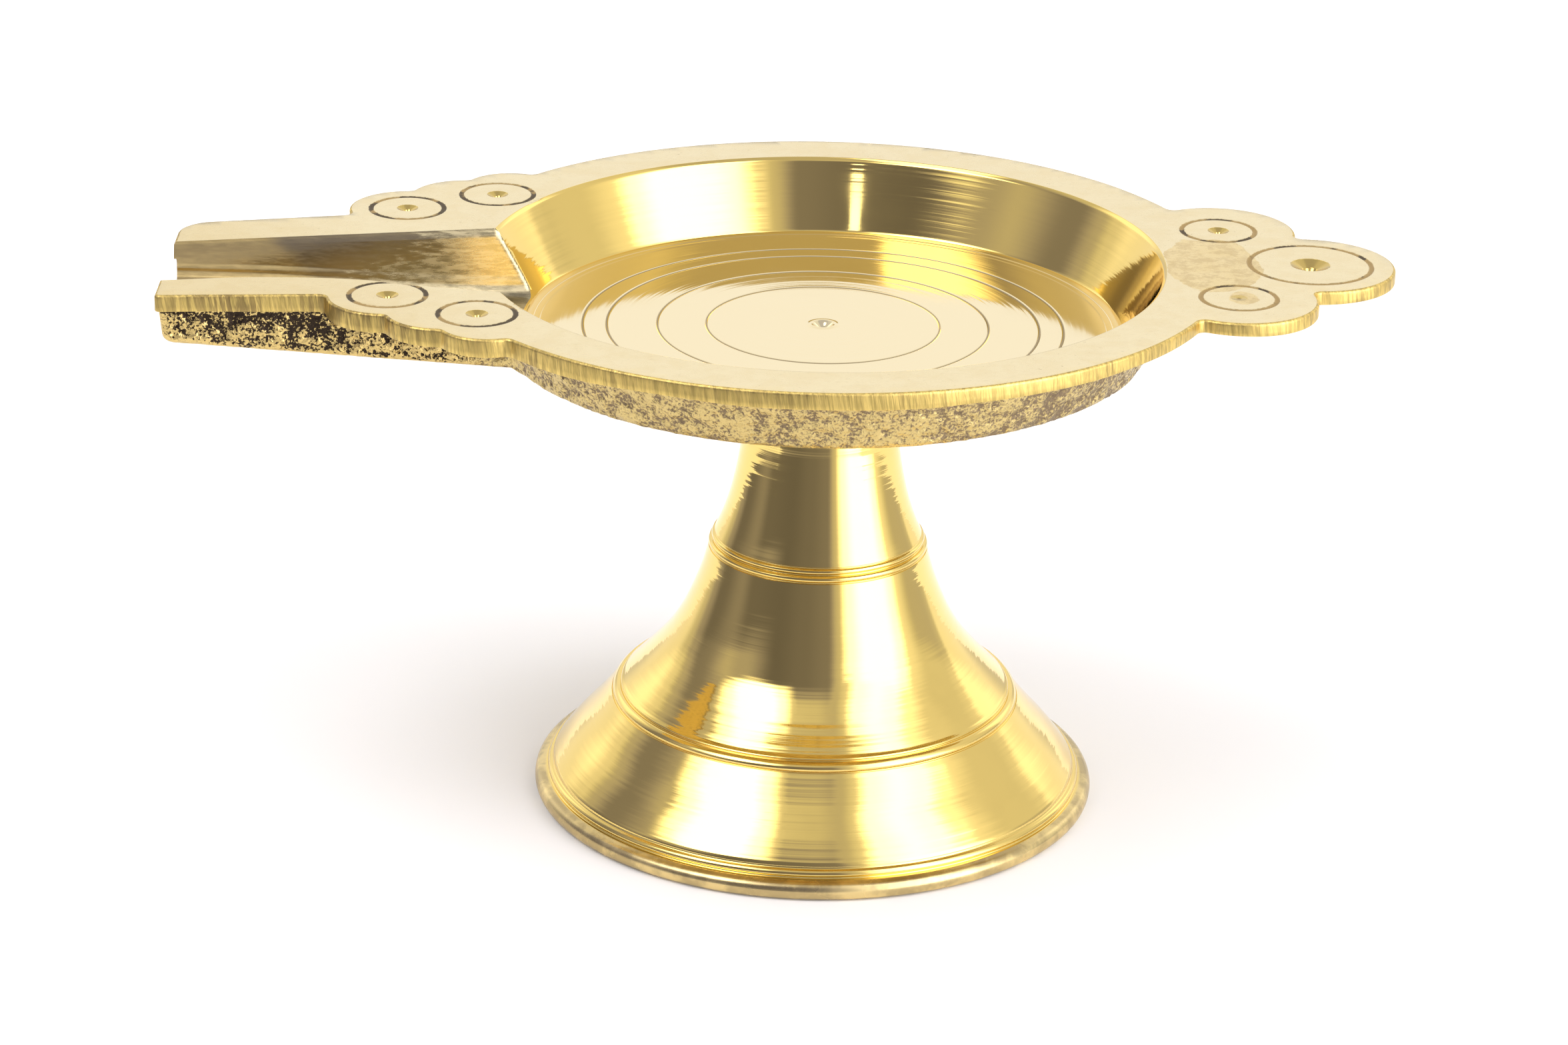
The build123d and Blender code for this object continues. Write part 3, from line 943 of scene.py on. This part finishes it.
class Finish(Nodes):
    """A brass material. Object coordinates are metres."""

    def __init__(self, name):
        self.material = bpy.data.materials.new(name)
        self.material.use_nodes = True
        super().__init__(self.material.node_tree)
        self.shader = self.tree.nodes["Principled BSDF"]
        self.shader.inputs["Metallic"].default_value = 1.0
        self.place = self.add("ShaderNodeTexCoord").outputs["Object"]

    def scaled(self, scale, vector=None):
        node = self.add("ShaderNodeVectorMath", operation="MULTIPLY")
        self.put(node.inputs[0], vector or self.place)
        node.inputs[1].default_value = scale
        return node.outputs[0]

    def noise(self, scale, detail=2.0, rough=0.5, vector=None):
        """Noise from 0 to 1; scale is one number or three, in cells per metre."""
        scale = (scale,) * 3 if isinstance(scale, (int, float)) else scale
        node = self.add("ShaderNodeTexNoise")
        self.put(node.inputs["Vector"], self.scaled(scale, vector))
        node.inputs["Scale"].default_value = 1.0
        node.inputs["Detail"].default_value = detail
        node.inputs["Roughness"].default_value = rough
        return node.outputs["Fac"]

    def mix(self, share, first, second):
        node = self.add("ShaderNodeMix", data_type="RGBA")
        self.put(node.inputs[0], share)
        for index, value in ((6, first), (7, second)):
            self.put(node.inputs[index], (*value, 1.0) if isinstance(value, tuple) else value)
        return node.outputs[2]

    def bump(self, height, depth_mm, normal=None):
        node = self.add("ShaderNodeBump")
        node.inputs["Strength"].default_value = 1.0
        node.inputs["Distance"].default_value = depth_mm * MM
        self.put(node.inputs["Height"], height)
        if normal:
            self.put(node.inputs["Normal"], normal)
        return node.outputs[0]

    def pit(self):
        """The mesh's own record of how deep a point lies in a pit or groove."""
        return self.add("ShaderNodeAttribute", attribute_name="pit").outputs["Fac"]

    def lathe_place(self):
        """A place that turning marks follow, round the axis, and the distance from the axis."""
        x, y, z = self.split(self.place)
        radius = self.work("SQRT", self.plus(self.times(x, x), self.times(y, y)))
        across = self.plus(radius, self.times(x, 0.004))
        along = self.plus(z, self.times(y, 0.004))
        join = self.add("ShaderNodeCombineXYZ")
        return self.fed(join, across, along, self.times(self.plus(x, y), 0.01)), radius

    def done(self, colour, roughness, normal=None):
        colour = (*colour, 1.0) if isinstance(colour, tuple) else colour
        self.put(self.shader.inputs["Base Color"], colour)
        self.put(self.shader.inputs["Roughness"], roughness)
        if normal:
            self.put(self.shader.inputs["Normal"], normal)
        return self.material


GOLD = (0.87, 0.645, 0.205)
PALE = (0.90, 0.77, 0.48)
FLOOR_PALE = (0.91, 0.78, 0.50)
# Dirt in the grooves, and painted shade in the countersunk marks.
GROOVE_DIRT_AND_SHADE = (0.20, 0.135, 0.055)


def shade_of(colour, share):
    """A darker tone of a colour."""
    return tuple(share * channel for channel in colour)


def turned_look(make, fine_mm, wide_mm):
    """Brass from the lathe: its colour, roughness and bump, and the distance from the axis."""
    rings, radius = make.lathe_place()
    fine = make.noise(2400.0, 1.5, 0.6, rings)
    wide = make.noise(1150.0, 1.0, 0.5, rings)
    smear = make.noise(120.0, 3.0, 0.6)
    shade = make.mix(make.ramp(smear, 0.45, 0.75, 0.0, 0.3), GOLD, shade_of(GOLD, 0.88))
    rough = make.ramp(smear, 0.35, 0.7, 0.05, 0.09)
    return shade, rough, make.bump(fine, fine_mm, make.bump(wide, wide_mm)), radius


def turned_brass(name, pale_floor=False):
    """Turned brass with dirt in its grooves and painted shade in its countersunk marks; the bowl's
    floor is paler than its wall.
    """
    make = Finish(name)
    shade, rough, normal, radius = turned_look(make, 0.006, 0.015)
    if pale_floor:
        shade = make.mix(make.ramp(radius, 0.0350, 0.0356, 1.0, 0.0), shade, FLOOR_PALE)
    # The grooves get dirt, and the countersunk marks get painted shade.
    shade = make.mix(make.ramp(make.pit(), 0.1, 0.8, 0.0, 0.8), shade, GROOVE_DIRT_AND_SHADE)
    return make.done(shade, make.plus(rough, make.times(make.pit(), 0.25)), normal)


def foot_brass():
    """The foot: turned brass with a duller, knocked band round its base."""
    make = Finish("brass_foot")
    shade, rough, normal, radius = turned_look(make, 0.01, 0.026)
    band = make.ramp(radius, 0.0327, 0.0331)
    knocks = make.ramp(make.noise(220.0, 4.0, 0.6), 0.40, 0.62)
    shade = make.mix(band, shade, make.mix(knocks, (0.52, 0.40, 0.19), (0.80, 0.62, 0.28)))
    return make.done(shade, make.plus(rough, make.times(band, 0.2)), normal)


def oval_reach(make, centre, radii):
    """How far out a place lies from an oval's centre, squared; 1 is the oval's edge."""
    squares = []
    for position, middle, radius in zip(make.split(make.place), centre, radii):
        share = make.work("DIVIDE", make.minus(position, middle), radius)
        squares.append(make.work("POWER", share, 2.0))
    return make.plus(*squares)


def top_brass():
    """The ground and buffed upper face: pale satin, finely pitted, with a stain on the grip."""
    make = Finish("brass_top")
    x, y, _ = make.split(make.place)
    mottle = make.noise(420.0, 5.0, 0.6)
    grain = make.noise(1900.0, 3.0, 0.6)
    pits = make.ramp(make.noise(1500.0, 4.0, 0.7), 0.28, 0.36, 1.0, 0.0)
    worn = make.ramp(make.noise(75.0, 3.0, 0.6), 0.45, 0.65)
    pits = make.times(pits, worn)
    shade = make.mix(make.ramp(mottle, 0.35, 0.7, 0.0, 0.3), PALE, (0.87, 0.71, 0.41))
    towards_spout = make.ramp(make.plus(x, make.times(y, 0.6)), -0.045, -0.075)
    shade = make.mix(make.times(towards_spout, 0.5), shade, (0.78, 0.60, 0.27))
    ragged = make.times(make.noise(210.0, 3.0, 0.6), 1.1)
    oval = make.plus(oval_reach(make, (0.0458, -0.0008), (0.0056, 0.0104)), ragged)
    spot = oval_reach(make, (0.0484, -0.0126), (0.0019, 0.0026))
    spot = make.ramp(make.plus(spot, make.times(ragged, 1.6)), 1.75, 1.95, 1.0, 0.0)
    stain = make.work("MAXIMUM", make.ramp(oval, 1.46, 1.54, 1.0, 0.0), spot)
    blotch = make.ramp(make.noise(700.0, 4.0, 0.7), 0.4, 0.62)
    blotch = make.mix(blotch, (0.86, 0.66, 0.29), (0.66, 0.47, 0.17))
    shade = make.mix(make.times(stain, 0.75), shade, blotch)
    shade = make.mix(make.times(pits, 0.6), shade, (0.30, 0.20, 0.09))
    groove = make.plus(make.pit(), make.ramp(grain, 0.3, 0.7, -0.2, 0.2))
    crusted = make.plus(make.noise(300.0, 2.0, 0.5), make.ramp(x, -0.04, 0.02, 0.07, 0.0))
    crusted = make.ramp(crusted, 0.52, 0.60)
    crust = make.mix(crusted, (0.47, 0.33, 0.14), (0.10, 0.075, 0.05))
    shade = make.mix(make.ramp(groove, 0.1, 0.6, 0.0, 0.95), shade, crust)
    height = make.plus(make.times(grain, 0.4), mottle)
    height = make.minus(height, make.times(pits, 1.2))
    rough = make.ramp(mottle, 0.3, 0.75, 0.22, 0.34)
    rough = make.plus(rough, make.times(make.pit(), 0.35))
    return make.done(shade, rough, make.bump(height, 0.005))


def channel_brass():
    """The channel's inside: khaki at its tip; in the middle a painted dark reflection, painted
    lighter deeper down; streaked bright at its root with painted highlights.
    """
    make = Finish("brass_channel")
    x, _, z = make.split(make.place)
    streak = make.noise((60.0, 2600.0, 2600.0), 3.0, 0.6)
    wide = make.noise((25.0, 420.0, 420.0), 2.0, 0.5)
    ragged = make.plus(make.times(streak, 0.022), make.times(wide, 0.018))
    down = make.minus(TOP * MM, z)
    begin = make.minus(x, make.times(down, 0.8))
    begin = make.ramp(make.plus(begin, make.times(wide, 0.004)), -0.0645, -0.0615)
    end = make.plus(make.plus(x, make.times(down, 1.5)), ragged)
    end = make.ramp(end, -0.0285, -0.0215)
    # The dark colour is a painted dark reflection, and the bright one a painted highlight.
    khaki, dark, bright = (0.56, 0.42, 0.19), (0.30, 0.24, 0.15), (0.50, 0.42, 0.25)
    # Painted reflection: the dark middle is made lighter deeper down.
    begin = make.times(begin, make.ramp(down, 0.0, 0.006, 1.0, 0.55))
    root = make.mix(make.ramp(streak, 0.35, 0.65), shade_of(bright, 0.62), bright)
    shade = make.mix(end, make.mix(begin, khaki, dark), root)
    normal = make.bump(streak, 0.006, make.bump(wide, 0.018))
    rough = make.plus(make.ramp(streak, 0.3, 0.7, 0.12, 0.22), make.times(end, 0.1))
    return make.done(shade, rough, normal)


def filed_brass():
    """The flange's side: filed across, with dark streaks left in it."""
    make = Finish("brass_side")
    slant = make.add("ShaderNodeMapping")
    make.put(slant.inputs["Vector"], make.place)
    slant.inputs["Rotation"].default_value = (0.0, math.radians(8), 0.0)
    slant = slant.outputs[0]
    x = make.split(make.place)[0]
    lines = make.noise((3000.0, 3000.0, 200.0), 3.0, 0.7, slant)
    fine = make.noise((2600.0, 2600.0, 150.0), 3.0, 0.7, slant)
    spout = make.ramp(x, -0.045, -0.030, 0.07, 0.0)
    dirt = make.plus(make.noise((1700.0, 1700.0, 170.0), 3.0, 0.65, slant), spout)
    dirt = make.ramp(dirt, 0.49, 0.62)
    dirt = make.times(dirt, make.ramp(make.noise(90.0, 2.0, 0.5), 0.40, 0.60, 0.3, 1.0))
    dirt = make.times(dirt, make.ramp(x, -0.040, -0.025, 1.0, 0.5))
    shade = make.mix(make.ramp(fine, 0.40, 0.62), shade_of(GOLD, 0.95), shade_of(GOLD, 0.66))
    shade = make.mix(make.times(dirt, 0.8), shade, (0.24, 0.165, 0.07))
    return make.done(shade, make.ramp(lines, 0.3, 0.7, 0.36, 0.52), make.bump(lines, 0.04))


def cast_brass():
    """Rough sand-cast brass: nearly black pits on the channel's wall, with painted shadow under the
    flange; tan ones on the skirt, with painted shade on its right side.
    """
    make = Finish("brass_cast")
    x, _, z = make.split(make.place)
    slope = (WALL_DEPTH[1] - WALL_DEPTH[0]) / (WALL_ROOT_X - WALL_END_X)
    low = (TOP - WALL_DEPTH[0] + slope * WALL_END_X) * MM
    rise = make.minus(make.plus(z, make.times(x, slope)), low)
    channel = make.ramp(x, -0.043, -0.038, 1.0, 0.0)
    grain = make.noise(2900.0, 2.5, 0.6)
    cloud = make.times(make.minus(make.noise(300.0, 2.0, 0.5), 0.5), 0.22)
    relief = make.times(make.minus(make.pit(), 0.5), 0.16)
    depth = make.plus(make.plus(grain, cloud), relief)
    # Painted shadow: the wall is darker higher up, under the flange.
    upper = make.ramp(rise, 0.0012, 0.0045, -0.03, 0.05)
    clean = make.ramp(rise, 0.0, 0.0008, 0.14, 0.0)
    tip = make.ramp(x, -0.0766, -0.0752, 0.14, 0.0)
    black = make.minus(make.plus(depth, upper), make.plus(clean, tip))
    black = make.ramp(black, 0.44, 0.53)
    # Painted shade: the skirt gets darker towards its right side.
    tan = make.ramp(make.plus(depth, make.ramp(x, 0.0, 0.035, 0.0, 0.1)), 0.42, 0.64)
    wall = make.mix(black, (0.74, 0.55, 0.21), (0.045, 0.032, 0.022))
    skirt = make.mix(tan, (0.70, 0.54, 0.22), (0.27, 0.20, 0.12))
    rough = make.ramp(depth, 0.35, 0.7, 0.34, 0.55)
    lumps = make.noise(1300.0, 2.0, 0.5)
    normal = make.bump(grain, 0.15, make.bump(lumps, 0.2))
    return make.done(make.mix(channel, skirt, wall), rough, normal)


def cast_foot_inside():
    """The foot's inside, as cast: dull and grainy."""
    make = Finish("brass_inside")
    grain = make.noise(1300.0, 4.0, 0.65)
    shade = make.mix(make.ramp(grain, 0.35, 0.65), (0.62, 0.45, 0.2), (0.30, 0.21, 0.1))
    return make.done(shade, make.ramp(grain, 0.3, 0.7, 0.38, 0.55), make.bump(grain, 0.15))


# ------------------------------------------------------------------ the lamp
pan = new_object("pan_body", pan_shell().mesh("pan_body"))
tool = new_object("channel_tool", channel_shell().mesh("channel_tool"))
turned = turned_brass("brass_bowl", pale_floor=True)
for material in (cast_brass(), top_brass(), turned, channel_brass(), filed_brass()):
    pan.data.materials.append(material)
    tool.data.materials.append(material)
cut(pan, tool)
crisp(pan.data, (CAST,))
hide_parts("pan")
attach(pan, "root")

foot = new_object("foot_body", foot_shell().mesh("foot_body"))
foot.data.materials.append(foot_brass())
foot.data.materials.append(cast_foot_inside())
crisp(foot.data)
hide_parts("foot")
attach(foot, "root")

fastener = turned_brass("brass_fastener")
stud = new_object("stud_thread", stud_shell().mesh("stud_thread"))
stud.data.materials.append(fastener)
crisp(stud.data)
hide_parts("pan_stud")
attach(stud, "root")
for node in ("foot_washer", "foot_nut"):
    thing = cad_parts[node]
    if not thing.material_slots:
        thing.data.materials.append(fastener)
    for place in thing.material_slots:
        place.material = fastener


# ------------------------------------------------------------------ the studio
def camera():
    """The camera: from the front, a little above, with a slight roll."""
    data = bpy.data.cameras.new("camera")
    data.sensor_width = 36.0
    data.lens = 103.86
    thing = new_object("camera", data)
    place = Vector((-0.01131, -0.50850, 0.23552))
    target = Vector((-0.00415, 0.00006, 0.03403))
    roll = 0.0207
    ahead = (target - place).normalized()
    right = ahead.cross(Vector((0, 0, 1))).normalized()
    up = right.cross(ahead)
    tilted = right * math.cos(roll) + up * math.sin(roll)
    up = up * math.cos(roll) - right * math.sin(roll)
    turn = Matrix((tilted, up, -ahead)).transposed().to_4x4()
    thing.matrix_world = Matrix.Translation(place) @ turn
    data.clip_start = 0.01
    bpy.context.scene.camera = thing


# How bright the room is seen from the lamp, by azimuth from the camera's side towards +X:
# low down, and higher up where the two softboxes hang.
LOW_ROOM = (
    (-180, 1.05), (-158, 1.05), (-146, 1.5), (-132, 1.5), (-122, 0.95), (-115, 0.55),
    (-105, 0.27), (-80, 0.31), (-66, 0.19), (-36, 0.17), (-12, 0.21), (10, 0.26),
    (20, 0.7), (30, 3.0), (44, 4.6), (66, 4.6), (76, 3.2), (84, 1.15),
    (98, 0.85), (114, 0.84), (120, 0.95), (125, 1.6), (140, 1.6), (152, 1.05),
    (180, 1.05),
)
HIGH_ROOM = (
    (-180, 1.0), (-130, 0.7), (-100, 0.4), (-86, 0.6), (-76, 3.0), (-66, 4.6),
    (-40, 4.8), (-30, 3.2), (-20, 0.85), (0, 0.8), (18, 0.62), (26, 0.9),
    (36, 3.4), (54, 4.4), (68, 3.8), (80, 1.6), (92, 0.95), (120, 0.85),
    (180, 1.0),
)
ROOM_PEAK = 5.0
OVERHEAD = 0.6
BACKDROP = 1.05  # how bright the room behind the lamp looks in the picture


def room(make, azimuth, stops):
    """The room's brightness at each azimuth, eased between the stops of a table."""
    ramp_node = make.add("ShaderNodeValToRGB")
    ramp = ramp_node.color_ramp
    ramp.interpolation = "EASE"
    while len(ramp.elements) < len(stops):
        ramp.elements.new(1.0)
    for element, (angle, level) in zip(ramp.elements, stops):
        element.position = angle / 360 + 0.5
        element.color = (level / ROOM_PEAK,) * 3 + (1.0,)
    share = make.plus(make.work("DIVIDE", azimuth, 360.0), 0.5)
    return make.times(make.fed(ramp_node, share), ROOM_PEAK)


def studio_light():
    """The light around the lamp: a pale room, a dark side towards the camera and two softboxes."""
    world = bpy.data.worlds.new("studio")
    bpy.context.scene.world = world
    world.use_nodes = True
    make = Nodes(world.node_tree)
    make.tree.nodes.clear()
    x, y, z = make.split(make.add("ShaderNodeTexCoord").outputs["Generated"])
    azimuth = make.times(make.work("ARCTAN2", x, make.times(y, -1.0)), 180 / math.pi)
    elevation = make.times(make.work("ARCSINE", z), 180 / math.pi)
    # The left softbox hangs with its lower edge sloping.
    slant = make.ramp(azimuth, -62, -26, 0.0, 7.5)
    slant = make.plus(slant, make.ramp(azimuth, -22, -16, 0.0, 1.5))
    slant = make.times(slant, make.ramp(azimuth, 10, 26, 1.0, 0.0))
    height = make.minus(elevation, slant)
    soft = make.times(make.ramp(azimuth, -22, -16, 0.0, 1.0), make.ramp(azimuth, 10, 26, 10.0, 0.0))
    edge = make.plus(soft, 40)  # between the two softboxes the room brightens more gently
    low, high = (room(make, azimuth, stops) for stops in (LOW_ROOM, HIGH_ROOM))
    level = make.ramp(height, 32, edge, low, high)
    # Light spilt on the wall below the left softbox.
    wall = make.ramp(azimuth, -100, -76, 0.0, 1.0)
    wall = make.times(wall, make.ramp(azimuth, -62, -36, 1.0, 0.0))
    wall = make.times(wall, make.ramp(elevation, 12, 25, 0.0, 0.3))
    level = make.plus(level, make.times(wall, make.ramp(elevation, 30, 38, 1.0, 0.0)))
    # Overhead the room is even, but for the left softbox's upper end.
    above = make.ramp(azimuth, -119, -110, 0.0, 2.2)
    above = make.times(above, make.ramp(azimuth, -50, -42, 1.0, 0.0))
    level = make.ramp(elevation, 56, 64, level, make.plus(above, OVERHEAD))
    aside = make.ramp(make.work("ABSOLUTE", azimuth), 80, 100, 0.0, 0.28)
    aside = make.times(aside, make.ramp(elevation, 6, 18, 1.0, 0.0))
    level = make.times(level, make.minus(1.0, aside))
    level = make.ramp(elevation, -15, -9, 0.68, level)
    cool = make.plus(make.ramp(level, 0.2, 0.8, 1.42, 1.0), make.ramp(level, 2.0, 4.0, 0.0, 0.1))
    seen = make.add("ShaderNodeLightPath").outputs["Is Camera Ray"]
    level = make.times(level, make.minus(1.0, seen))
    level = make.plus(level, make.times(seen, BACKDROP))
    shader = make.add("ShaderNodeBackground")
    make.put(shader.inputs["Strength"], level)
    tint = make.fed(make.add("ShaderNodeCombineColor"), 1.0, 0.985, make.times(cool, 0.96))
    make.put(shader.inputs["Color"], tint)
    make.put(make.add("ShaderNodeOutputWorld").inputs[0], shader.outputs[0])


def area_light(name, shape, size, energy, place):
    """Adds an area light that the camera doesn't see, facing down."""
    data = bpy.data.lights.new(name, "AREA")
    data.shape = shape
    data.size, data.size_y = size
    data.energy = energy
    thing = new_object(name, data)
    thing.location = place
    thing.visible_camera = False
    return thing


def overhead_light():
    """A wide lamp overhead that lights the floor and doesn't show in the brass."""
    thing = area_light("overhead", "DISK", (1.6, 1.6), 5.8, (0, 0, 1.5))
    thing.visible_glossy = False


def small_light():
    """A small soft light just above the bowl: its far wall mirrors it as a narrow bright line.

    It hangs low, so that the pan hides it from the foot.
    """
    far_wall = Vector((0.004, 0.0385, 0.064))
    place = Vector((-0.0152, -0.0447, 0.1251))
    thing = area_light("small", "RECTANGLE", (0.0048, 0.016), 0.0008, place)
    thing.rotation_mode = "QUATERNION"
    thing.rotation_quaternion = (far_wall - place).to_track_quat("-Z", "Y")


def floor():
    """A plain pale floor."""
    mesh = bpy.data.meshes.new("floor")
    # A narrow table that ends a little in front of the lamp.
    aside, front, back, drop = 0.24, -0.13, 2.5, -0.00005
    corners = [(-aside, front), (aside, front), (aside, back), (-aside, back)]
    mesh.from_pydata([(x, y, drop) for x, y in corners], [], [(0, 1, 2, 3)])
    material = bpy.data.materials.new("floor")
    material.use_nodes = True
    shader = material.node_tree.nodes["Principled BSDF"]
    shader.inputs["Base Color"].default_value = (0.80, 0.795, 0.785, 1)
    shader.inputs["Roughness"].default_value = 0.9
    shader.inputs["Specular IOR Level"].default_value = 0.1
    shader.inputs["Emission Color"].default_value = (1, 0.99, 0.97, 1)
    shader.inputs["Emission Strength"].default_value = 0.1
    mesh.materials.append(material)
    new_object("floor", mesh)


camera()
studio_light()
overhead_light()
small_light()
floor()
bpy.context.scene.view_settings.view_transform = "Standard"
